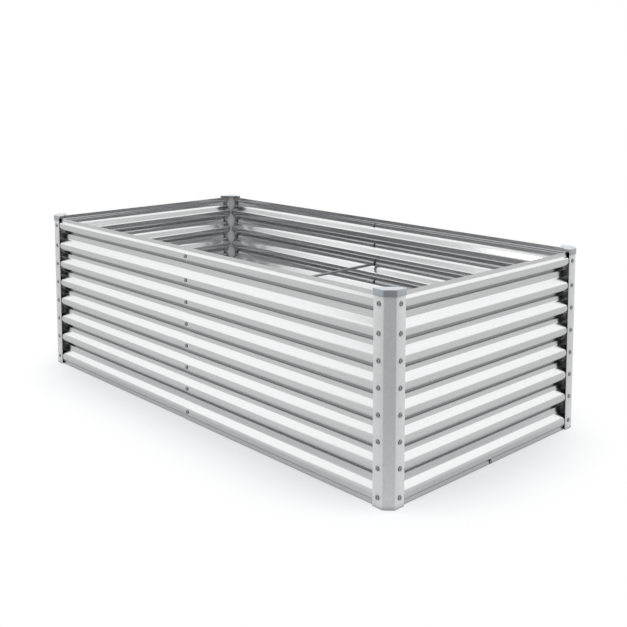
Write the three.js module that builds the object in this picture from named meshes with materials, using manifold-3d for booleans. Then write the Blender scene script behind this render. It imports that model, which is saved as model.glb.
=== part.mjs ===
// Raised garden bed of corrugated steel sheet. Six corrugated panels stand between four
// folded corner posts, one panel on each short side and two lapped panels on each long side.
// The post flanges lie outside on the ridges and carry one screw per ridge, a column of bolts
// closes each lap, two tie rods hold the long sides together and a cap covers each post.
// Millimetres: X along the long sides, Y across, Z up, origin at the middle of the base.
import * as THREE from 'three';
import { mergeVertices } from 'three/addons/utils/BufferGeometryUtils.js';
import Module from 'manifold-3d';

// Outer size over the posts, height over the caps, and the clearance between touching pieces.
const LENGTH = 1830;
const WIDTH = 915;
const HEIGHT = 600;
const FIT = 0.3;

// Corrugated sheet: horizontal ridges, one step wider at the first and the last of them.
const SHEET = 1;
const SHEET_DROP = 6;
const RIDGES = 8;
const RIDGE_DEPTH = 18;
const EDGE_TO_RIDGE = 30;
const END_STEP_EXTRA = 6.36;
const CREST_SHARE = 0.268;
const SLOPE_SHARE = 0.268;
const RIM_SETBACK = 5.5;
const SHEET_BEND = 7;
const LAP = 34;

// Corner post: a folded sheet with a chamfer face between two flanges.
const POST_SHEET = 1.5;
const CHAMFER = 24;
const FLANGE = 36.5;
const POST_BEND = 4;

// Corner cap: a top plate with a skirt outside the post and a grip rib inside it.
const CAP_PLATE = 2.7;
const CAP_WALL = 1.8;
const CAP_SKIRT = 16.5;
const CAP_RIB = 9;
const CAP_OVERHANG = 2;
const CAP_END_DEPTH = 15.5;

// Fasteners: pan-head screws, hexagon nuts and tie rods across the bed at two of the ridges.
const HEAD_DIAMETER = 14;
const HEAD_TOP_DIAMETER = 9;
const HEAD_HEIGHT = 3.5;
const SHANK_DIAMETER = 6;
const SHANK_TAIL = 2;
const NUT_FLATS = 10;
const NUT_HEIGHT = 5;
const ROD_DIAMETER = 10;
const ROD_RIDGES = [2, 5];
const RIM_HEAD_DIAMETER = 12;
const RIM_BOLT_HEIGHT = 7;
const HEAD_SIDES = 8;
const HEX = 6;

// Posts end under the caps, and the sheets a little below the posts.
const POST_HEIGHT = HEIGHT - CAP_PLATE - FIT;
const SHEET_HEIGHT = POST_HEIGHT - SHEET_DROP;

// Ridge heights, worked out from the sheet's height and the number of ridges.
const RIDGE_SPAN = SHEET_HEIGHT - 2 * EDGE_TO_RIDGE;
const RIDGE_PITCH = (RIDGE_SPAN - 2 * END_STEP_EXTRA) / (RIDGES - 1);
const ridgeHeights = Array.from({ length: RIDGES }, (_, i) => {
  const pastFirst = i > 0 ? END_STEP_EXTRA : 0;
  const atLast = i === RIDGES - 1 ? END_STEP_EXTRA : 0;
  return EDGE_TO_RIDGE + i * RIDGE_PITCH + pastFirst + atLast;
});

// Depths are measured inward from the outer plane of the posts.
const PANEL_FACE = POST_SHEET + FIT;
const LAP_SHIFT = SHEET + 1.4 * FIT;
const PANEL_END = CHAMFER + 3;
const SCREW_INSET = CHAMFER + FLANGE / 2;
const LAPPED_BACK = PANEL_FACE + LAP_SHIFT + SHEET;
const SINGLE_BACK = PANEL_FACE + SHEET;
const HOLE_RADIUS = SHANK_DIAMETER / 2 + FIT / Math.cos(Math.PI / HEX);

const wasm = await Module();
wasm.setup();

const galvanised = new THREE.MeshStandardMaterial({ color: 0xcdd0d2, metalness: 0.85, roughness: 0.35 });
const postSteel = new THREE.MeshStandardMaterial({ color: 0xc4c6c8, metalness: 0.8, roughness: 0.42 });
const capPlastic = new THREE.MeshStandardMaterial({ color: 0xa7adb2, metalness: 0.1, roughness: 0.5 });
const screwSteel = new THREE.MeshStandardMaterial({ color: 0x8d9093, metalness: 0.9, roughness: 0.35 });

// Solid for cutting and joining, made from a closed geometry.
function solidOf(geometry) {
  const bare = geometry.clone();
  bare.deleteAttribute('normal');
  bare.deleteAttribute('uv');
  const merged = mergeVertices(bare, 1e-5);
  return new wasm.Manifold(new wasm.Mesh({
    numProp: 3,
    vertProperties: merged.attributes.position.array,
    triVerts: new Uint32Array(merged.index.array),
  }));
}

function geometryOf(solid) {
  const { vertProperties, triVerts } = solid.getMesh();
  const geometry = new THREE.BufferGeometry();
  geometry.setAttribute('position', new THREE.BufferAttribute(vertProperties, 3));
  geometry.setIndex(new THREE.BufferAttribute(triVerts, 1));
  geometry.computeVertexNormals();
  return geometry;
}

function namedMesh(name, solid, material) {
  const mesh = new THREE.Mesh(geometryOf(solid), material);
  mesh.name = name;
  return mesh;
}

// Folds a path of corners: every inner corner becomes an arc. Each sample keeps its point
// and the unit normal to the right of the path, so that parallel faces follow from it.
function foldedPath(corners, radius, arcSteps = 2) {
  const directions = corners.slice(1).map((p, i) => p.clone().sub(corners[i]).normalize());
  const rightOf = (d) => new THREE.Vector2(d.y, -d.x);
  const samples = [{ point: corners[0].clone(), normal: rightOf(directions[0]) }];
  for (let i = 1; i < corners.length - 1; i += 1) {
    const [before, after] = [directions[i - 1], directions[i]];
    const turn = Math.atan2(before.cross(after), before.dot(after));
    const side = Math.sign(turn);
    const reach = radius * Math.tan(Math.abs(turn) / 2);
    const start = corners[i].clone().addScaledVector(before, -reach);
    const centre = start.addScaledVector(rightOf(before), -side * radius);
    for (let step = 0; step <= arcSteps; step += 1) {
      const normal = rightOf(before).rotateAround(new THREE.Vector2(), (turn * step) / arcSteps);
      samples.push({ point: centre.clone().addScaledVector(normal, side * radius), normal });
    }
  }
  const last = corners.length - 1;
  samples.push({ point: corners[last].clone(), normal: rightOf(directions[last - 1]) });
  return samples;
}

// Outline of the sheet between two parallel faces of a folded path.
function sheetOutline(path, rightFace, leftFace) {
  const face = (offset) => path.map(({ point, normal }) => point.clone().addScaledVector(normal, offset));
  const outline = [...face(rightFace), ...face(leftFace).reverse()];
  return THREE.ShapeUtils.isClockWise(outline) ? outline.reverse() : outline;
}

// Closed solid through matching outlines in XY, each at its own height along Z.
function loft(outlines, heights) {
  const count = outlines[0].length;
  const points = outlines.flatMap((outline, i) => outline.map((p) => [p.x, p.y, heights[i]]));
  const faces = [];
  for (let layer = 0; layer < outlines.length - 1; layer += 1) {
    for (let i = 0; i < count; i += 1) {
      const a = layer * count + i;
      const b = layer * count + ((i + 1) % count);
      faces.push(a, b, b + count, a, b + count, a + count);
    }
  }
  const topLayer = (outlines.length - 1) * count;
  for (const [a, b, c] of THREE.ShapeUtils.triangulateShape(outlines[0], [])) {
    faces.push(a, c, b, a + topLayer, b + topLayer, c + topLayer);
  }
  const geometry = new THREE.BufferGeometry();
  geometry.setAttribute('position', new THREE.Float32BufferAttribute(points.flat(), 3));
  geometry.setIndex(faces);
  return geometry;
}

const upright = (outline, height, base = 0) => loft([outline, outline], [base, base + height]);

// Prism or frustum along +Y, from one depth to another.
function plug(startRadius, endRadius, sides, from, to) {
  const frustum = new THREE.CylinderGeometry(endRadius, startRadius, to - from, sides);
  return frustum.translate(0, (from + to) / 2, 0);
}

// ---- corrugated panels -------------------------------------------------------------------

// Middle line of the sheet from its bottom edge to its top edge, x being the depth.
function corrugationPath() {
  const middle = PANEL_FACE + SHEET / 2;
  const crest = CREST_SHARE * RIDGE_PITCH;
  const slope = SLOPE_SHARE * RIDGE_PITCH;
  const rimSlope = (slope * RIM_SETBACK) / RIDGE_DEPTH;
  const corner = (depth, z) => new THREE.Vector2(middle + depth, z);
  const corners = [corner(RIM_SETBACK, 0)];
  ridgeHeights.forEach((z, i) => {
    const [low, high] = [z - crest / 2, z + crest / 2];
    const [first, last] = [i === 0, i === RIDGES - 1];
    corners.push(first ? corner(RIM_SETBACK, low - rimSlope) : corner(RIDGE_DEPTH, low - slope));
    corners.push(corner(0, low), corner(0, high));
    corners.push(last ? corner(RIM_SETBACK, high + rimSlope) : corner(RIDGE_DEPTH, high + slope));
  });
  corners.push(corner(RIM_SETBACK, SHEET_HEIGHT));
  return foldedPath(corners, SHEET_BEND);
}

// The sections lie in XY with the length along Z; this turns the length to X and the height to Z.
const lieAlongX = new THREE.Matrix4().makeBasis(
  new THREE.Vector3(0, 1, 0),
  new THREE.Vector3(0, 0, 1),
  new THREE.Vector3(1, 0, 0),
);

// Panel from one place along the side to another. The shifts say how far the sheet lies
// behind the panel face at either end, and holes lists the places of its screw holes.
function panelSolid(from, to, shifts, holes) {
  const path = corrugationPath();
  const outlines = shifts.map((shift) => sheetOutline(path, shift + SHEET / 2, shift - SHEET / 2));
  let panel = solidOf(loft(outlines, [from, to]).applyMatrix4(lieAlongX));
  for (const [x, z] of holes) {
    const drill = plug(HOLE_RADIUS, HOLE_RADIUS, HEX, 0, LAPPED_BACK + RIM_SETBACK);
    panel = panel.subtract(solidOf(drill.translate(x, 0, z)));
  }
  return panel;
}

const column = (x) => ridgeHeights.map((z) => [x, z]);

// ---- corner posts and caps ---------------------------------------------------------------

// Path along the post from one flange's free edge round the chamfer to the other's.
function postPath(depth, overhang = 0) {
  const reach = CHAMFER + FLANGE + overhang;
  const bend = CHAMFER + depth * (Math.SQRT2 - 1);
  const corners = [[reach, depth], [bend, depth], [depth, bend], [depth, reach]];
  return foldedPath(corners.map(([x, y]) => new THREE.Vector2(x, y)), POST_BEND);
}

function screwSolid(seat, shankEnd, width = HEAD_DIAMETER) {
  const head = plug(HEAD_TOP_DIAMETER / 2, width / 2, HEAD_SIDES, seat - HEAD_HEIGHT, seat);
  const shank = plug(SHANK_DIAMETER / 2, SHANK_DIAMETER / 2, HEX, seat - HEAD_HEIGHT / 2, shankEnd);
  return solidOf(head).add(solidOf(shank));
}

// Post with its sixteen screws. The flange along X has them along +Y, the other one along +X.
function postSolid() {
  const sink = POST_SHEET / 3;
  const outline = sheetOutline(postPath(POST_SHEET / 2), POST_SHEET / 2, -POST_SHEET / 2);
  let post = solidOf(upright(outline, POST_HEIGHT));
  const screw = screwSolid(sink, SINGLE_BACK + NUT_HEIGHT + FIT + SHANK_TAIL);
  const mirrored = screw.mirror([1, -1, 0]);
  for (const z of ridgeHeights) {
    post = post.add(screw.translate([SCREW_INSET, 0, z]));
    post = post.add(mirrored.translate([0, SCREW_INSET, z]));
  }
  return post;
}

function capSolid() {
  const path = postPath(0, CAP_OVERHANG);
  const outer = path.map(({ point, normal }) => point.clone().addScaledVector(normal, -FIT - CAP_WALL));
  const reach = CHAMFER + FLANGE + CAP_OVERHANG;
  const inner = [new THREE.Vector2(CAP_END_DEPTH, reach), new THREE.Vector2(reach, CAP_END_DEPTH)];
  const plateOutline = [...outer, ...inner];
  if (THREE.ShapeUtils.isClockWise(plateOutline)) plateOutline.reverse();
  const under = POST_HEIGHT + FIT;
  const wallBelow = (outline, drop) => solidOf(upright(outline, drop + CAP_PLATE / 2, under - drop));
  const skirt = wallBelow(sheetOutline(path, -FIT, -FIT - CAP_WALL), CAP_SKIRT);
  const ribPath = postPath(POST_SHEET + FIT + CAP_WALL / 2);
  const rib = wallBelow(sheetOutline(ribPath, CAP_WALL / 2, -CAP_WALL / 2), CAP_RIB);
  return solidOf(upright(plateOutline, CAP_PLATE, under)).add(skirt).add(rib);
}

// ---- bolts, nuts and tie rods ------------------------------------------------------------

function boltSolid(sheetBack, sheetFace = PANEL_FACE, width = HEAD_DIAMETER) {
  return screwSolid(sheetFace - FIT, sheetBack + FIT + NUT_HEIGHT + SHANK_TAIL, width);
}

function nutSolid(sheetBack) {
  const [from, to] = [sheetBack + FIT, sheetBack + FIT + NUT_HEIGHT];
  const radius = NUT_FLATS / 2 / Math.cos(Math.PI / HEX);
  const bore = plug(HOLE_RADIUS, HOLE_RADIUS, HEX, from - FIT, to + FIT);
  return solidOf(plug(radius, radius, HEX, from, to)).subtract(solidOf(bore));
}

// Round bar across the bed with a threaded bore in either end for the seam bolts.
function rodSolid() {
  const end = LAPPED_BACK + FIT;
  const boreDepth = NUT_HEIGHT + 3 * SHANK_TAIL;
  const bar = plug(ROD_DIAMETER / 2, ROD_DIAMETER / 2, HEAD_SIDES, end, WIDTH - end);
  const bore = plug(HOLE_RADIUS, HOLE_RADIUS, HEX, end - FIT, end + boreDepth);
  const farBore = plug(HOLE_RADIUS, HOLE_RADIUS, HEX, WIDTH - end - boreDepth, WIDTH - end + FIT);
  return solidOf(bar).subtract(solidOf(bore)).subtract(solidOf(farBore));
}

// ---- assembly ----------------------------------------------------------------------------

// A side's own frame: X along it, Y inward from the outer plane of the posts, Z up.
const sides = [
  { name: 'front', turn: 0, at: [0, -WIDTH / 2], length: LENGTH },
  { name: 'right', turn: 1, at: [LENGTH / 2, 0], length: WIDTH },
  { name: 'back', turn: 2, at: [0, WIDTH / 2], length: LENGTH },
  { name: 'left', turn: 3, at: [-LENGTH / 2, 0], length: WIDTH },
];

function placed({ turn, at: [x, y] }) {
  const group = new THREE.Group();
  group.position.set(x, y, 0);
  group.rotation.z = (turn * Math.PI) / 2;
  return group;
}

function longSide(side) {
  const group = placed(side);
  const half = side.length / 2;
  const holesOf = (sign) => [...column(sign * (half - SCREW_INSET)), ...column(0)];
  const over = panelSolid(-LAP / 2, half - PANEL_END, [0, 0], holesOf(1));
  const under = panelSolid(-half + PANEL_END, LAP / 2, [0, LAP_SHIFT], holesOf(-1));
  group.add(namedMesh(`${side.name}_outer_panel`, over, galvanised));
  group.add(namedMesh(`${side.name}_inner_panel`, under, galvanised));
  ridgeHeights.forEach((z, i) => {
    const bolt = namedMesh(`${side.name}_seam_bolt_${i + 1}`, boltSolid(LAPPED_BACK), screwSteel);
    bolt.position.z = z;
    group.add(bolt);
    if (ROD_RIDGES.includes(i)) return;
    const nut = namedMesh(`${side.name}_seam_nut_${i + 1}`, nutSolid(LAPPED_BACK), screwSteel);
    nut.position.z = z;
    group.add(nut);
  });
  return group;
}

function shortSide(side) {
  const group = placed(side);
  const half = side.length / 2;
  const inRim = [0, RIM_BOLT_HEIGHT];
  const holes = [...column(-half + SCREW_INSET), ...column(half - SCREW_INSET), inRim];
  const panel = panelSolid(-half + PANEL_END, half - PANEL_END, [0, 0], holes);
  const [face, sheetBack] = [PANEL_FACE + RIM_SETBACK, SINGLE_BACK + RIM_SETBACK];
  const screw = boltSolid(sheetBack, face, RIM_HEAD_DIAMETER);
  const bolt = namedMesh(`${side.name}_bolt`, screw, screwSteel);
  const nut = namedMesh(`${side.name}_nut`, nutSolid(sheetBack), screwSteel);
  bolt.position.z = RIM_BOLT_HEIGHT;
  nut.position.z = RIM_BOLT_HEIGHT;
  group.add(namedMesh(`${side.name}_panel`, panel, galvanised), bolt, nut);
  return group;
}

// A corner's own frame has its origin where the outer planes meet, X and Y pointing inward.
function corner(turn) {
  const [x, y] = [[-1, -1], [1, -1], [1, 1], [-1, 1]][turn];
  const group = placed({ turn, at: [(x * LENGTH) / 2, (y * WIDTH) / 2] });
  const name = `${y < 0 ? 'front' : 'back'}_${x < 0 ? 'left' : 'right'}`;
  group.add(namedMesh(`${name}_post`, postSolid(), postSteel));
  group.add(namedMesh(`${name}_cap`, capSolid(), capPlastic));
  return group;
}

const bed = new THREE.Group();
const [front, right, back, left] = sides;
bed.add(longSide(front), shortSide(right), longSide(back), shortSide(left));
for (let turn = 0; turn < 4; turn += 1) bed.add(corner(turn));
ROD_RIDGES.forEach((ridge, i) => {
  const rod = namedMesh(`tie_rod_${i + 1}`, rodSolid(), screwSteel);
  rod.position.set(0, -WIDTH / 2, ridgeHeights[ridge]);
  bed.add(rod);
});

export default bed;
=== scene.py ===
"""Raised garden bed of corrugated galvanised sheet: panels, posts, caps, screws and tie rods."""
import math

import bmesh
import bpy
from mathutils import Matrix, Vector


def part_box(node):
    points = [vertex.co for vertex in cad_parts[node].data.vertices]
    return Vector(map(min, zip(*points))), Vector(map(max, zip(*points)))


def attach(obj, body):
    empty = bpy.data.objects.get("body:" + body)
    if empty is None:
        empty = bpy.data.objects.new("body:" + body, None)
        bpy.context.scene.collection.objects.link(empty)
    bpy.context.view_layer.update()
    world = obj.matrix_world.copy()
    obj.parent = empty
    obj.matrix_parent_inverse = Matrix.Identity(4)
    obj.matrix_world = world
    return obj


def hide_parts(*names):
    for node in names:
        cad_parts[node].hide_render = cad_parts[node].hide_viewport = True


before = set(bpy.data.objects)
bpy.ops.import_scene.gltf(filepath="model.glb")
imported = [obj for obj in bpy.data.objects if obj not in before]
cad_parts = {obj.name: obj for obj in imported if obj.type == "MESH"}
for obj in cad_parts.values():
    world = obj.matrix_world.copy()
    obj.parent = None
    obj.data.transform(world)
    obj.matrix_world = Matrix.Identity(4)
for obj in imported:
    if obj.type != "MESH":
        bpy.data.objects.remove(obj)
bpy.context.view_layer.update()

# ---- sizes in metres, the same as the solids' -------------------------------------------
LENGTH = 1.830
WIDTH = 0.915
FIT = 0.0003

SHEET = 0.001
SHEET_HEIGHT = 0.591
RIDGE_DEPTH = 0.018
CREST = 0.01984  # height of a ridge's flat face
SLOPE = 0.01984  # height that each of its slopes takes
RIM_SETBACK = 0.0055
LAP = 0.034
LAP_SHIFT = 0.00142  # of the sheet behind in a lap, inwards
PANEL_TUCK = 0.003  # from the chamfer's edge to the sheet's end

POST_SHEET = 0.0015
POST_HEIGHT = 0.597
CHAMFER = 0.024
FLANGE = 0.0365

CAP_WALL = 0.0018
CAP_SKIRT = 0.0165
CAP_PLATE = 0.0027
CAP_RIB = 0.009
CAP_OVERHANG = 0.002
CAP_END_DEPTH = 0.0155

HEAD_RADIUS = 0.007
RIM_HEAD_RADIUS = 0.006
SHANK_RADIUS = 0.003
SHANK_TAIL = 0.002
NUT_RADIUS = 0.00577
NUT_HEIGHT = 0.005
ROD_RADIUS = 0.005

# ---- bends, edges and small forms, some of them finer than the solids' -----------------
CREST_BEND = 0.018
VALLEY_BEND = 0.007
RIM_BEND = 0.009
SHEET_BEND_STEPS = 8
POST_FOLD = 45  # degrees at each bend
POST_BEND = 0.0045
POST_EDGE = 0.0003
CAP_BEND_REACH = 0.0024
CAP_HOLLOW_BEND_REACH = 0.0018
CAP_EDGE = 0.0006
RIB_BEND_REACH = 0.0015
BEND_STEPS = 6

HEAD_HEIGHT = 0.003
HEAD_RIM = 0.0004
HEAD_STEPS = 7
DOME_FULLNESS = (0.8, 0.6)  # across and up, where 1 is an ellipse
HEAD_SIDES = 24
RECESS = (0.0054, 0.0014, 0.0014)
SHANK_SIDES = 12
SHANK_SUNK = 0.001
SHANK_CHAMFER = 0.0006
THREAD_PITCH = 0.001
THREAD_DEPTH = 0.0004
NUT_SIDES = 6
NUT_EDGE = 0.0005
ROD_SIDES = 32
ROD_CHAMFER = 0.0008

# ---- places that pieces share -----------------------------------------------------------
# Along a side, from the corner where a post's outer faces would meet without its chamfer:
SCREW_INSET = CHAMFER + FLANGE / 2
PANEL_END = CHAMFER + PANEL_TUCK
# Inwards, from the outer faces of the posts:
PANEL_FACE = POST_SHEET + FIT
SINGLE_BACK = PANEL_FACE + SHEET
LAPPED_BACK = SINGLE_BACK + LAP_SHIFT


def middle_height(name):
    return sum(corner.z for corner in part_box(name)) / 2


# The seam bolts stand at the middle of every ridge.
SEAM_BOLTS = sorted(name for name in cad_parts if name.startswith("front_seam_bolt_"))
ridge_heights = [middle_height(name) for name in SEAM_BOLTS]
rod_heights = [middle_height(name) for name in ("tie_rod_1", "tie_rod_2")]
rim_bolt_height = middle_height("right_bolt")


# ---- modelling by hand ------------------------------------------------------------------
def select_only(*pieces):
    bpy.ops.object.select_all(action="DESELECT")
    for piece in pieces:
        piece.select_set(True)
    bpy.context.view_layer.objects.active = pieces[0]


def start_from(points):
    """Wire through the points, drawn by extruding one vertex from each to the next."""
    bpy.ops.object.select_all(action="DESELECT")
    bpy.ops.mesh.primitive_plane_add(size=0.01)
    piece = bpy.context.object
    bpy.ops.object.mode_set(mode="EDIT")
    bpy.ops.mesh.select_mode(type="VERT")
    bpy.ops.mesh.select_all(action="SELECT")
    bpy.ops.mesh.merge(type="CENTER")
    bpy.ops.transform.translate(value=points[0])
    for here, there in zip(points, points[1:]):
        extrude(Vector(there) - Vector(here))
    return piece


def extrude(step):
    bpy.ops.mesh.extrude_region_move(TRANSFORM_OT_translate={"value": step})


def pick(piece, test):
    """Selects the vertices of the piece in edit mode that pass the test."""
    bpy.ops.mesh.select_mode(type="VERT")
    bpy.ops.mesh.select_all(action="DESELECT")
    mesh = bmesh.from_edit_mesh(piece.data)
    for vertex in mesh.verts:
        if test(vertex):
            vertex.select_set(True)
    mesh.select_flush_mode()
    bmesh.update_edit_mesh(piece.data)


def round_off(piece, corners, reach, steps=BEND_STEPS):
    """Rounds the wire's corners whose place passes the test."""
    pick(piece, lambda vertex: len(vertex.link_edges) == 2 and corners(vertex.co))
    bpy.ops.mesh.bevel(offset=reach, segments=steps, affect="VERTICES")


def every_corner(place):
    return True


def raise_plan(height):
    """Fills the outline in edit mode and raises it into a block."""
    bpy.ops.mesh.select_all(action="SELECT")
    bpy.ops.mesh.edge_face_add()
    extrude((0, 0, height))
    bpy.ops.mesh.select_all(action="SELECT")
    bpy.ops.mesh.normals_make_consistent(inside=False)
    finish_edit()


def finish_edit():
    bpy.ops.object.mode_set(mode="OBJECT")


def apply(piece, kind, **settings):
    modifier = piece.modifiers.new(kind.title(), kind)
    for name, value in settings.items():
        setattr(modifier, name, value)
    bpy.context.view_layer.objects.active = piece
    bpy.ops.object.modifier_apply(modifier=modifier.name)


def cut(piece, tool):
    apply(piece, "BOOLEAN", operation="DIFFERENCE", object=tool, solver="EXACT")
    bpy.data.objects.remove(tool)


def ease_edges(piece, width, steps, sharper_than):
    """Bevels the edges that turn by more than the angle, in degrees."""
    angle = math.radians(sharper_than)
    apply(piece, "BEVEL", width=width, segments=steps, limit_method="ANGLE", angle_limit=angle)


def folded_sheet(name, points, bends, run, thickness, steps=BEND_STEPS):
    """Sheet folded through the points, its outer face on them, pulled along the run.

    Each bend is a test of the corners that it rounds and how far it reaches from them.
    """
    piece = start_from(points)
    piece.name = name
    for corners, reach in bends:
        round_off(piece, corners, reach, steps)
    bpy.ops.mesh.select_all(action="SELECT")
    extrude(run)
    bpy.ops.mesh.select_all(action="SELECT")
    bpy.ops.mesh.normals_make_consistent(inside=False)
    # The outer face looks out of the bed, which is towards -X and -Y in the piece's own frame.
    faces = bmesh.from_edit_mesh(piece.data).faces
    if sum(face.normal.dot((-1, -1, 0)) * face.calc_area() for face in faces) < 0:
        bpy.ops.mesh.flip_normals()
    finish_edit()
    apply(piece, "SOLIDIFY", thickness=thickness, offset=-1, use_even_offset=True)
    return piece


def turned(name, profile, sides):
    """Solid of revolution round the Y axis. The profile is radius and depth pairs."""
    piece = start_from([(radius, depth, 0) for radius, depth in profile])
    piece.name = name
    bpy.ops.mesh.select_all(action="SELECT")
    bpy.ops.mesh.spin(steps=sides, angle=math.tau, center=(0, 0, 0), axis=(0, 1, 0))
    bpy.ops.mesh.select_all(action="SELECT")
    bpy.ops.mesh.remove_doubles(threshold=0.00001)
    bpy.ops.mesh.normals_make_consistent(inside=False)
    finish_edit()
    return piece


def smooth(piece, degrees=35):
    select_only(piece)
    bpy.ops.object.shade_smooth_by_angle(angle=math.radians(degrees))


def copy_of(piece, name):
    select_only(piece)
    bpy.ops.object.duplicate()
    twin = bpy.context.object
    twin.name = name
    return twin


def put(piece, at, degrees=0):
    """Moves and turns a piece that was modelled at the origin, and leaves its origin there."""
    select_only(piece)
    piece.location = at
    piece.rotation_euler = (0, 0, math.radians(degrees))
    bpy.ops.object.transform_apply(location=True, rotation=True, scale=True)
    return piece


def join(pieces, name):
    select_only(*pieces)
    if len(pieces) > 1:
        bpy.ops.object.join()
    pieces[0].name = name
    return pieces[0]


def remove(pieces):
    for piece in pieces:
        bpy.data.objects.remove(piece)


def dress(piece, material, slot, *nodes):
    """Finish, body and CAD nodes of a finished piece."""
    piece.data.name = piece.name
    piece.data.materials.clear()
    piece.data.materials.append(material)
    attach(piece, "root")
    if nodes:
        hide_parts(*nodes)


# ---- shader nodes -----------------------------------------------------------------------
def node(tree, kind, feeds=None, **settings):
    """Node with its settings, each named input fixed or fed by another node's output."""
    made = tree.nodes.new(kind)
    for name, value in settings.items():
        setattr(made, name, value)
    feed(tree, made, feeds or {})
    return made


def feed(tree, made, feeds):
    for socket, value in feeds.items():
        if isinstance(value, bpy.types.NodeSocket):
            tree.links.new(value, made.inputs[socket])
        else:
            made.inputs[socket].default_value = value


def object_place(tree):
    return node(tree, "ShaderNodeTexCoord").outputs["Object"]


def noise(tree, place, scale, detail=2, roughness=0.5):
    feeds = {"Vector": place, "Scale": scale, "Detail": detail, "Roughness": roughness}
    return node(tree, "ShaderNodeTexNoise", feeds)


def number(tree, operation, *terms, **settings):
    """Sum, product or another result of numbers and other nodes' outputs."""
    feeds = dict(enumerate(terms))
    return node(tree, "ShaderNodeMath", feeds, operation=operation, **settings).outputs["Value"]


def vector(tree, operation, *terms, **settings):
    feeds = dict(enumerate(terms))
    return node(tree, "ShaderNodeVectorMath", feeds, operation=operation, **settings)


def ranged(tree, value, start=0.0, end=1.0, low=0.0, high=1.0, **settings):
    """The value's range from start to end, brought to the range from low to high."""
    feeds = {"Value": value, "From Min": start, "From Max": end, "To Min": low, "To Max": high}
    return node(tree, "ShaderNodeMapRange", feeds, **settings).outputs["Result"]


def mixed(tree, share, first, second):
    """From the first colour to the second, each of them fixed or another node's output."""
    colours = {"A": first, "B": second}
    feeds = {"Factor": share}
    for socket, colour in colours.items():
        feeds[socket] = colour if isinstance(colour, bpy.types.NodeSocket) else (*colour, 1)
    return node(tree, "ShaderNodeMix", feeds, data_type="RGBA").outputs["Result"]


def bumped(tree, height, strength, distance):
    feeds = {"Height": height, "Strength": strength, "Distance": distance}
    return node(tree, "ShaderNodeBump", feeds).outputs["Normal"]


def new_material(name):
    material = bpy.data.materials.new(name)
    material.use_nodes = True
    shader = material.node_tree.nodes["Principled BSDF"]
    return material, material.node_tree, shader


# ---- node groups that several finishes share --------------------------------------------
def new_group(name, inputs, outputs):
    """Empty group whose inputs are numbers or vectors, and whose outputs are numbers."""
    group = bpy.data.node_groups.new(name, "ShaderNodeTree")
    for label, value in inputs.items():
        kind = "NodeSocketVector" if isinstance(value, tuple) else "NodeSocketFloat"
        socket = group.interface.new_socket(name=label, in_out="INPUT", socket_type=kind)
        socket.default_value = value
    for label in outputs:
        group.interface.new_socket(name=label, in_out="OUTPUT", socket_type="NodeSocketFloat")
    return group, group.nodes.new("NodeGroupInput").outputs, group.nodes.new("NodeGroupOutput")


def place_group(tree, group, feeds):
    return node(tree, "ShaderNodeGroup", feeds, node_tree=group).outputs


def zinc_spangle_group():
    """Crystals of hot-dip zinc: a tone for each cell and a little height."""
    group, given, out = new_group(
        "zinc_spangle", {"Cells per metre": 90.0, "Waver": 0.004}, ["Crystal", "Height"]
    )
    place = object_place(group)
    wobble = noise(group, place, 140).outputs["Color"]
    centred = vector(group, "SUBTRACT", wobble, (0.5, 0.5, 0.5)).outputs[0]
    amount = node(
        group, "ShaderNodeVectorMath", {0: centred, "Scale": given["Waver"]}, operation="SCALE"
    )
    moved = vector(group, "ADD", place, amount.outputs[0]).outputs[0]
    size = given["Cells per metre"]
    cells = node(group, "ShaderNodeTexVoronoi", {"Vector": moved, "Scale": size}, feature="F1")
    tone = node(group, "ShaderNodeSeparateColor", {"Color": cells.outputs["Color"]})
    feed(group, out, {"Crystal": tone.outputs["Red"], "Height": cells.outputs["Distance"]})
    return group


def rolling_streaks_group():
    """Long faint streaks that the rollers leave, drawn out along one axis."""
    group, given, out = new_group(
        "rolling_streaks", {"Stretch": (2.0, 260.0, 260.0), "Fineness": 1.0}, ["Streak"]
    )
    drawn = vector(group, "MULTIPLY", object_place(group), given["Stretch"]).outputs[0]
    lines = noise(group, drawn, given["Fineness"], detail=3, roughness=0.6).outputs["Fac"]
    feed(group, out, {"Streak": ranged(group, lines, 0.3, 0.7)})
    return group


def edge_wear_group():
    """Mask of worn and rubbed edges, broken up by noise."""
    group, given, out = new_group("edge_wear", {"Width": 0.0012, "Breakup": 60.0}, ["Wear"])
    rounded = node(group, "ShaderNodeBevel", {"Radius": given["Width"]}, samples=4)
    flat = node(group, "ShaderNodeNewGeometry").outputs["Normal"]
    alike = vector(group, "DOT_PRODUCT", rounded.outputs["Normal"], flat).outputs["Value"]
    edge = ranged(group, alike, 0.995, 0.9)
    patches = noise(group, object_place(group), given["Breakup"], detail=3).outputs["Fac"]
    feed(group, out, {"Wear": number(group, "MULTIPLY", edge, patches)})
    return group


def painted_corner_shade_group():
    """Mask that is 1 on open faces and falls to 0 in tight corners, where shade is painted into
    the colour.
    """
    group, given, out = new_group(
        "painted_corner_shade", {"Reach": 0.03, "Black below": 0.2, "Unshaded above": 0.5}, ["Unshaded"]
    )
    # Occlusion sets where shade is painted into the colour.
    openness = node(group, "ShaderNodeAmbientOcclusion", {"Distance": given["Reach"]}, samples=6)
    unshaded = ranged(group, openness.outputs["AO"], given["Black below"], given["Unshaded above"])
    feed(group, out, {"Unshaded": unshaded})
    return group


SPANGLE = zinc_spangle_group()
STREAKS = rolling_streaks_group()
WEAR = edge_wear_group()
# mask for shade painted into tight corners
CORNER_SHADE = painted_corner_shade_group()


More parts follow.
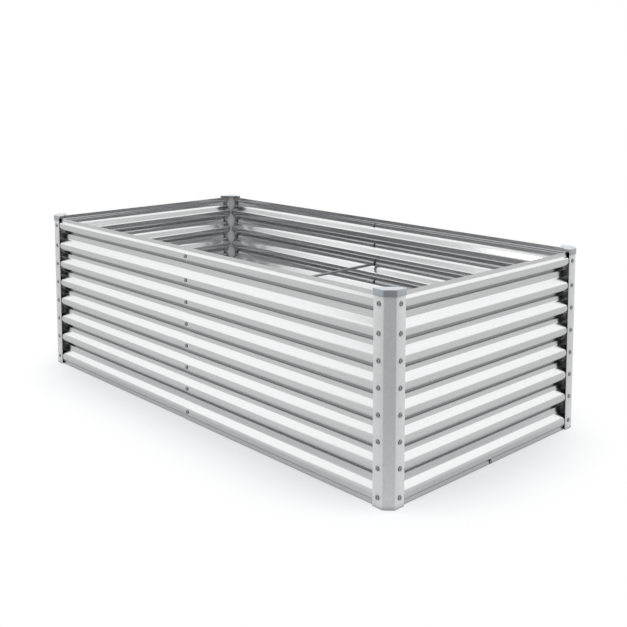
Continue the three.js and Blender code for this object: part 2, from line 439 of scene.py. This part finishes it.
# ---- finishes ---------------------------------------------------------------------------
SHEET_TONES = [(0.5115, 0.51429, 0.51801), (0.55, 0.553, 0.557)]
SHEET_TINT_AT_GRAZING = (0.72, 0.72, 0.72, 1)
POST_TONES = [(0.63, 0.632, 0.635), (0.67, 0.672, 0.675)]
POST_WORN = (0.74, 0.745, 0.75)
CAP_TONES = [(0.40, 0.43, 0.455), (0.445, 0.47, 0.495)]
CAP_WORN = (0.55, 0.57, 0.59)
SCREW_TONES = [(0.23, 0.23, 0.235), (0.31, 0.31, 0.315)]
SCREW_WORN = (0.42, 0.42, 0.425)
# near-black colour painted into tight corners as shade
PAINTED_SHADE_TONE = (0.03, 0.03, 0.031)
# Streaks per metre along each axis:
ALONG_X = (2.0, 260.0, 260.0)
ALONG_Y = (260.0, 2.0, 260.0)


def worn(tree, colour, worn_colour, width, breakup):
    """The colour, with the worn colour along rubbed edges."""
    wear = place_group(tree, WEAR, {"Width": width, "Breakup": breakup})["Wear"]
    return mixed(tree, wear, colour, worn_colour)


def shaded_in_corners(tree, colour, reach, black_below, unshaded_above):
    """The colour on open faces, painted nearly black as shade in the corners."""
    feeds = {"Reach": reach, "Black below": black_below, "Unshaded above": unshaded_above}
    return mixed(tree, place_group(tree, CORNER_SHADE, feeds)["Unshaded"], PAINTED_SHADE_TONE, colour)


def galvanised_sheet(name, stretch):
    """Bright zinc sheet with fine spangle and streaks along the panel, and shade painted nearly
    black into its tight corners.
    """
    material, tree, shader = new_material(name)
    spangle = place_group(tree, SPANGLE, {"Cells per metre": 110.0, "Waver": 0.006})["Crystal"]
    streaks = place_group(tree, STREAKS, {"Stretch": stretch, "Fineness": 1.0})["Streak"]
    both = number(tree, "MULTIPLY_ADD", spangle, 0.35, ranged(tree, streaks, high=0.65))
    base = mixed(tree, both, *SHEET_TONES)
    feed(tree, shader, {
        # painted shade: nearly black in the pockets behind the post flanges and in the
        # corrugation's tight corners
        "Base Color": shaded_in_corners(tree, base, reach=0.03, black_below=0.16, unshaded_above=0.5),
        "Roughness": ranged(tree, both, low=0.16, high=0.21),
        "Metallic": 1.0,
        "Specular Tint": SHEET_TINT_AT_GRAZING,
        "Normal": bumped(tree, streaks, strength=0.02, distance=0.0002),
    })
    return material


def post_zinc():
    """Duller zinc of the folded posts, lighter along their edges, with shade painted dark into
    their tight corners.
    """
    material, tree, shader = new_material("post_zinc")
    spangle = place_group(tree, SPANGLE, {"Cells per metre": 150.0, "Waver": 0.004})
    base = mixed(tree, spangle["Crystal"], *POST_TONES)
    base = worn(tree, base, POST_WORN, width=0.0012, breakup=80.0)
    feed(tree, shader, {
        # painted shade: dark behind the flanges, where the sheets run under them
        "Base Color": shaded_in_corners(tree, base, reach=0.03, black_below=0.3, unshaded_above=0.5),
        "Roughness": ranged(tree, spangle["Crystal"], low=0.42, high=0.5),
        "Metallic": 0.25,
        "Normal": bumped(tree, spangle["Height"], strength=0.02, distance=0.0002),
    })
    return material


def cap_plastic():
    """Blue-grey moulded plastic with a fine grain."""
    material, tree, shader = new_material("cap_plastic")
    place = object_place(tree)
    grain = noise(tree, place, 1400).outputs["Fac"]
    base = mixed(tree, noise(tree, place, 30).outputs["Fac"], *CAP_TONES)
    feed(tree, shader, {
        "Base Color": worn(tree, base, CAP_WORN, width=0.001, breakup=120.0),
        "Roughness": 0.45,
        "Normal": bumped(tree, grain, strength=0.12, distance=0.0001),
    })
    return material


def screw_zinc():
    """Plated steel, with shade painted dark in the corners round the head and in its recess."""
    material, tree, shader = new_material("screw_zinc")
    cloud = noise(tree, object_place(tree), 600).outputs["Fac"]
    base = mixed(tree, cloud, *SCREW_TONES)
    base = worn(tree, base, SCREW_WORN, width=0.0005, breakup=300.0)
    feed(tree, shader, {
        # painted shade: a dark ring round the head's foot and a dark recess
        "Base Color": shaded_in_corners(tree, base, reach=0.005, black_below=0.8, unshaded_above=0.99),
        "Roughness": ranged(tree, cloud, low=0.28, high=0.4),
        "Metallic": 0.85,
    })
    return material


# ---- corrugated panels ------------------------------------------------------------------
def corrugation(x):
    """Corners of the sheet's outer face from its bottom edge to its top edge."""
    rim_slope = SLOPE * RIM_SETBACK / RIDGE_DEPTH
    rim = PANEL_FACE + RIM_SETBACK
    valley = PANEL_FACE + RIDGE_DEPTH
    points = [(x, rim, 0)]
    for z in ridge_heights:
        low, high = z - CREST / 2, z + CREST / 2
        before = (rim, low - rim_slope) if z == ridge_heights[0] else (valley, low - SLOPE)
        after = (rim, high + rim_slope) if z == ridge_heights[-1] else (valley, high + SLOPE)
        points += [(x, *before), (x, PANEL_FACE, low), (x, PANEL_FACE, high), (x, *after)]
    return points + [(x, rim, SHEET_HEIGHT)]


def panel(name, start, end, shifted_end=None):
    """Corrugated sheet from start to end. A shifted end lies behind the sheet that laps it."""
    lowest, highest = ridge_heights[0], ridge_heights[-1]
    half_turn = math.tan(math.atan2(RIDGE_DEPTH, SLOPE) / 2)
    half_way = PANEL_FACE + RIDGE_DEPTH / 2

    def at_rim(place):
        return not lowest < place.z < highest

    def in_valley(place):
        return place.y > half_way

    def on_crest(place):
        return place.y < half_way and lowest < place.z < highest

    bends = [
        (at_rim, RIM_BEND * half_turn),
        (in_valley, VALLEY_BEND * half_turn),
        (on_crest, CREST_BEND * half_turn),
    ]
    run = (end - start, 0, 0)
    piece = folded_sheet(name, corrugation(start), bends, run, SHEET, steps=SHEET_BEND_STEPS)
    if shifted_end is not None:
        bpy.ops.object.mode_set(mode="EDIT")
        pick(piece, lambda vertex: abs(vertex.co.x - shifted_end) < FIT)
        bpy.ops.transform.translate(value=(0, LAP_SHIFT, 0))
        finish_edit()
    smooth(piece)
    return piece


# ---- corner posts and caps --------------------------------------------------------------
def corner_path(depth, reach, z):
    """Plan of a face parallel to the post's outer faces, from one free edge to the other."""
    bend = CHAMFER + depth * (math.sqrt(2) - 1)
    return [(reach, depth, z), (bend, depth, z), (depth, bend, z), (depth, reach, z)]


def post():
    bends = [(every_corner, POST_BEND * math.tan(math.radians(POST_FOLD / 2)))]
    path = corner_path(0, CHAMFER + FLANGE, 0)
    piece = folded_sheet("post", path, bends, (0, 0, POST_HEIGHT), POST_SHEET)
    ease_edges(piece, POST_EDGE, steps=2, sharper_than=60)
    smooth(piece)
    return piece


def cap():
    """Flat cap with a skirt outside the post and a grip rib inside it."""
    reach = CHAMFER + FLANGE + CAP_OVERHANG
    skirt_foot = POST_HEIGHT + FIT - CAP_SKIRT
    skin = -FIT - CAP_WALL
    block = start_from(corner_path(skin, reach, skirt_foot))
    round_off(block, every_corner, CAP_BEND_REACH)
    pick(block, lambda vertex: len(vertex.link_edges) == 1 and vertex.co.x < vertex.co.y)
    extrude((CAP_END_DEPTH - skin, 0, 0))
    extrude((reach - CAP_END_DEPTH, CAP_END_DEPTH - reach, 0))
    raise_plan(CAP_SKIRT + CAP_PLATE)
    hollow = start_from(corner_path(-FIT, 2 * reach, skirt_foot - CAP_WALL))
    round_off(hollow, every_corner, CAP_HOLLOW_BEND_REACH)
    raise_plan(CAP_SKIRT + CAP_WALL)
    cut(block, hollow)
    ease_edges(block, CAP_EDGE, steps=3, sharper_than=50)
    rib_path = corner_path(PANEL_FACE, CHAMFER + FLANGE, POST_HEIGHT + FIT - CAP_RIB)
    rib_run = (0, 0, CAP_RIB + CAP_PLATE / 2)
    rib = folded_sheet("rib", rib_path, [(every_corner, RIB_BEND_REACH)], rib_run, CAP_WALL)
    piece = join([block, rib], "cap")
    smooth(piece)
    return piece


# ---- fasteners --------------------------------------------------------------------------
def screw_head(seat, radius):
    """Low domed head with a cross recess, its flat side on the seat."""
    dome = [(0.0, seat - HEAD_HEIGHT)]
    for step in range(1, HEAD_STEPS + 1):
        slant = math.radians(90 * step / HEAD_STEPS)
        width, height = math.sin(slant) ** DOME_FULLNESS[0], math.cos(slant) ** DOME_FULLNESS[1]
        dome.append((radius * width, seat - HEAD_RIM - (HEAD_HEIGHT - HEAD_RIM) * height))
    head = turned("head", [*dome, (radius, seat), (0.0, seat)], HEAD_SIDES)
    for degrees in (0, 90):
        bpy.ops.object.select_all(action="DESELECT")
        bpy.ops.mesh.primitive_cube_add(size=1, location=(0, seat - HEAD_HEIGHT, 0))
        blade = bpy.context.object
        blade.scale = RECESS
        blade.rotation_euler.y = math.radians(degrees)
        bpy.ops.object.transform_apply(location=True, rotation=True, scale=True)
        cut(head, blade)
    return head


def threaded_shank(top, thread_start, tail):
    """Shank with rings of thread from the thread's start to the tail."""
    profile = [(0.0, top), (SHANK_RADIUS, top), (SHANK_RADIUS, thread_start)]
    crest = thread_start
    while crest + THREAD_PITCH < tail:
        root = crest + THREAD_PITCH / 2
        crest += THREAD_PITCH
        profile += [(SHANK_RADIUS - THREAD_DEPTH, root), (SHANK_RADIUS, crest)]
    profile += [(SHANK_RADIUS - SHANK_CHAMFER, tail), (0.0, tail)]
    return turned("shank", profile, SHANK_SIDES)


def hexagon_nut(seat):
    bpy.ops.object.select_all(action="DESELECT")
    bpy.ops.mesh.primitive_cylinder_add(vertices=NUT_SIDES, radius=NUT_RADIUS, depth=NUT_HEIGHT)
    nut = bpy.context.object
    nut.rotation_euler.x = math.radians(90)
    nut.location.y = seat + NUT_HEIGHT / 2
    bpy.ops.object.transform_apply(location=True, rotation=True, scale=True)
    ease_edges(nut, NUT_EDGE, steps=2, sharper_than=70)
    return nut


def screw(name, seat, back, nut=True, radius=HEAD_RADIUS):
    """Screw from its seat through the sheets to a nut behind their back."""
    nut_seat = back + FIT
    tail = nut_seat + NUT_HEIGHT + SHANK_TAIL
    thread_start = nut_seat + (NUT_HEIGHT if nut else 0)
    shank = threaded_shank(seat - SHANK_SUNK, thread_start, tail)
    pieces = [screw_head(seat, radius), shank]
    if nut:
        pieces.append(hexagon_nut(nut_seat))
    piece = join(pieces, name)
    smooth(piece, 30)
    return piece


def tie_rod():
    """Rod from the front lap to the back one, its ends chamfered."""
    end = LAPPED_BACK + FIT
    profile = [(0.0, end), (ROD_RADIUS - ROD_CHAMFER, end), (ROD_RADIUS, end + ROD_CHAMFER)]
    profile += [(radius, WIDTH - depth) for radius, depth in reversed(profile)]
    rod = turned("rod", profile, ROD_SIDES)
    smooth(rod)
    return rod


# ---- assembly ---------------------------------------------------------------------------
# Each piece is modelled once, in the frame of a side or a corner, and copied to its places:
# where that frame's origin stands, and its turn in degrees.
SIDES = {
    "front": ((0, -WIDTH / 2, 0), 0),
    "right": ((LENGTH / 2, 0, 0), 90),
    "back": ((0, WIDTH / 2, 0), 180),
    "left": ((-LENGTH / 2, 0, 0), 270),
}
LONG_SIDES = ("front", "back")
SHORT_SIDES = ("left", "right")
CORNERS = {
    "front_left": ((-LENGTH / 2, -WIDTH / 2, 0), 0),
    "front_right": ((LENGTH / 2, -WIDTH / 2, 0), 90),
    "back_right": ((LENGTH / 2, WIDTH / 2, 0), 180),
    "back_left": ((-LENGTH / 2, WIDTH / 2, 0), 270),
}

long_sheet = galvanised_sheet("long_sheet_zinc", ALONG_X)
short_sheet = galvanised_sheet("short_sheet_zinc", ALONG_Y)
post_finish = post_zinc()
cap_finish = cap_plastic()
screw_finish = screw_zinc()


def hang_panels():
    """Two lapped sheets on each long side and one sheet on each short side."""
    half_long, half_short = LENGTH / 2 - PANEL_END, WIDTH / 2 - PANEL_END
    outer = panel("outer_model", -LAP / 2, half_long)
    inner = panel("inner_model", -half_long, LAP / 2, shifted_end=LAP / 2)
    short = panel("short_model", -half_short, half_short)
    for side, (at, degrees) in SIDES.items():
        models, finish = {"panel": short}, short_sheet
        if side in LONG_SIDES:
            models, finish = {"outer_panel": outer, "inner_panel": inner}, long_sheet
        for kind, model in models.items():
            made = put(copy_of(model, f"{side}_{kind}_sheet"), at, degrees)
            dress(made, finish, "galvanised_sheet", f"{side}_{kind}")
    remove([outer, inner, short])


def row_of(model, x, name):
    """Screws of one model joined as one row, one on each ridge."""
    return join([put(copy_of(model, name), (x, 0, z)) for z in ridge_heights], name)


def stand_corners():
    """Post, cap and two rows of screws at each corner."""
    corner_screw = screw("corner_screw", 0, SINGLE_BACK)
    post_model, cap_model = post(), cap()
    for corner, (at, degrees) in CORNERS.items():
        made = put(copy_of(post_model, f"{corner}_folded_post"), at, degrees)
        dress(made, post_finish, "post_steel", f"{corner}_post")
        made = put(copy_of(cap_model, f"{corner}_moulded_cap"), at, degrees)
        dress(made, cap_finish, "cap_plastic", f"{corner}_cap")
        row = row_of(corner_screw, SCREW_INSET, f"{corner}_screws_a")
        dress(put(row, at, degrees), screw_finish, "fastener_steel")
        row = row_of(corner_screw, -SCREW_INSET, f"{corner}_screws_b")
        put(row, (0, 0, 0), -90)
        dress(put(row, at, degrees), screw_finish, "fastener_steel")
    remove([corner_screw, post_model, cap_model])


def bolt_laps():
    """Bolts through each lap, with nuts where no tie rod takes the bolt."""
    seam_bolt = screw("seam_bolt", PANEL_FACE, LAPPED_BACK)
    rod_bolt = screw("rod_bolt", PANEL_FACE, LAPPED_BACK, nut=False)
    for side in LONG_SIDES:
        at, degrees = SIDES[side]
        for index, z in enumerate(ridge_heights, 1):
            held_by_rod = min(abs(z - rod) for rod in rod_heights) < HEAD_RADIUS
            model = rod_bolt if held_by_rod else seam_bolt
            nodes = [f"{side}_seam_bolt_{index}"]
            if not held_by_rod:
                nodes.append(f"{side}_seam_nut_{index}")
            made = put(copy_of(model, f"{side}_seam_screw_{index}"), (0, 0, z))
            dress(put(made, at, degrees), screw_finish, "fastener_steel", *nodes)
    remove([seam_bolt, rod_bolt])


def bolt_rims():
    """One bolt in the lower rim of each short side."""
    face, back = PANEL_FACE + RIM_SETBACK, SINGLE_BACK + RIM_SETBACK
    rim_bolt = screw("rim_bolt", face, back, radius=RIM_HEAD_RADIUS)
    for side in SHORT_SIDES:
        at, degrees = SIDES[side]
        made = put(copy_of(rim_bolt, f"{side}_rim_screw"), (0, 0, rim_bolt_height))
        nodes = [f"{side}_bolt", f"{side}_nut"]
        dress(put(made, at, degrees), screw_finish, "fastener_steel", *nodes)
    remove([rim_bolt])


def span_tie_rods():
    rod_model = tie_rod()
    for index, z in enumerate(rod_heights, 1):
        made = put(copy_of(rod_model, f"cross_rod_{index}"), (0, -WIDTH / 2, z))
        dress(made, screw_finish, "fastener_steel", f"tie_rod_{index}")
    remove([rod_model])


hang_panels()
stand_corners()
bolt_laps()
bolt_rims()
span_tie_rods()


# ---- floor, light and camera ------------------------------------------------------------
# Distances on the floor are from the bed's sides, rounded off round its corners.
CORNER_ROUNDING = 0.4
SHADOW_REACH = 0.3
WHITE_NEAR = 0.45  # share of plain white beside the bed
BOUNCE_FROM = 0.1  # from here to there the floor throws less and less light back
BOUNCE_TO = 1.0
BOUNCE_TONES = [(0.9, 0.9, 0.9), (0.1, 0.1, 0.1)]
PAPER = (0.82, 0.86, 0.89)
AIR = (0.38, 0.39, 0.4)
WHITE = (1, 1, 1)
FLOOR_SIDE = 60
SUN_SPREAD = 40  # degrees

PHOTO_SIDE = 627  # pixels
FOCAL_PIXELS = 937.5
SENSOR = 36
CAMERA_AT = (2.5209, -2.2370, 1.1634)
CAMERA_DIP = 5.464  # degrees
CAMERA_TURN = 46.853  # degrees
CAMERA_SHIFT = -0.24


def seen_directly(tree):
    """1 for the camera's view, also in metal, and 0 for the light that pieces give each other."""
    path = node(tree, "ShaderNodeLightPath").outputs
    seen = path["Is Camera Ray"]
    for ray in ("Is Glossy Ray", "Is Transmission Ray"):
        seen = number(tree, "MAXIMUM", seen, path[ray])
    unspread = number(tree, "LESS_THAN", path["Diffuse Depth"], 0.5)
    return number(tree, "MULTIPLY", seen, unspread)


def distance_from_bed(tree):
    """How far a place on the floor lies from the bed, plus the corners' rounding."""
    place = node(tree, "ShaderNodeSeparateXYZ", {0: object_place(tree)}).outputs
    past = {}
    for axis, half in (("X", LENGTH / 2), ("Y", WIDTH / 2)):
        across = number(tree, "ABSOLUTE", place[axis])
        past[axis] = number(tree, "SUBTRACT", across, half - CORNER_ROUNDING, use_clamp=True)
    away = node(tree, "ShaderNodeCombineXYZ", past).outputs["Vector"]
    return vector(tree, "LENGTH", away).outputs["Value"]


def floor_paper():
    """Pale paper that keeps the bed's shadow near it and is plain white further out."""
    material, tree, paper = new_material("floor_paper")
    seen = seen_directly(tree)
    distance = distance_from_bed(tree)

    def between(start, end, **levels):
        near, far = CORNER_ROUNDING + start, CORNER_ROUNDING + end
        return ranged(tree, distance, near, far, interpolation_type="SMOOTHSTEP", **levels)

    bounce = mixed(tree, between(BOUNCE_FROM, BOUNCE_TO), *BOUNCE_TONES)
    feed(tree, paper, {
        "Base Color": mixed(tree, seen, bounce, PAPER),
        "Roughness": 0.9,
        "Specular IOR Level": 0.1,
    })
    share = number(tree, "MULTIPLY", between(0, SHADOW_REACH, low=WHITE_NEAR), seen)
    white = node(tree, "ShaderNodeEmission").outputs["Emission"]
    feeds = {"Fac": share, 1: paper.outputs["BSDF"], 2: white}
    surface = node(tree, "ShaderNodeMixShader", feeds).outputs["Shader"]
    feed(tree, tree.nodes["Material Output"], {"Surface": surface})
    return material


def lay_floor():
    bpy.ops.object.select_all(action="DESELECT")
    bpy.ops.mesh.primitive_plane_add(size=FLOOR_SIDE, location=(0, 0, 0))
    ground = bpy.context.object
    ground.name = "studio_floor"
    ground.data.materials.append(floor_paper())


def lamp(name, kind, at, aim, energy):
    bpy.ops.object.light_add(type=kind, location=at)
    light = bpy.context.object
    light.name = name
    light.data.energy = energy
    light.rotation_euler = (Vector(aim) - Vector(at)).to_track_quat("-Z", "Y").to_euler()
    return light


def softbox(name, at, size, watts):
    light = lamp(name, "AREA", at, (0, 0, POST_HEIGHT / 2), watts)
    light.data.shape = "RECTANGLE"
    light.data.size, light.data.size_y = size


def even_light(name, come_from, strength):
    """Soft light of one strength all along the bed, too far off to mirror in the metal."""
    light = lamp(name, "SUN", come_from, (0, 0, 0), strength)
    light.data.angle = math.radians(SUN_SPREAD)
    light.visible_glossy = False


def studio_light():
    world = bpy.data.worlds.new("studio")
    bpy.context.scene.world = world
    world.use_nodes = True
    tree = world.node_tree
    feed(tree, tree.nodes["Background"], {"Color": mixed(tree, seen_directly(tree), AIR, WHITE)})
    softbox("top_softbox", at=(0, 0, 3.4), size=(3.0, 2.0), watts=70)
    softbox("left_softbox", at=(-2.5, -1.9, 2.0), size=(2.6, 2.4), watts=14)
    softbox("right_softbox", at=(2.1, 2.4, 2.0), size=(2.6, 2.4), watts=14)
    even_light("left_light", come_from=(-4.0, -2.6, 1.6), strength=1.75)
    even_light("right_light", come_from=(2.6, 4.0, 1.6), strength=2.1)


def photo_camera():
    turn = (math.radians(90 - CAMERA_DIP), 0, math.radians(CAMERA_TURN))
    bpy.ops.object.camera_add(location=CAMERA_AT, rotation=turn)
    camera = bpy.context.object
    camera.data.sensor_width = SENSOR
    camera.data.lens = SENSOR * FOCAL_PIXELS / PHOTO_SIDE
    camera.data.shift_y = CAMERA_SHIFT
    bpy.context.scene.camera = camera


lay_floor()
studio_light()
photo_camera()
bpy.context.scene.view_settings.view_transform = "Standard"
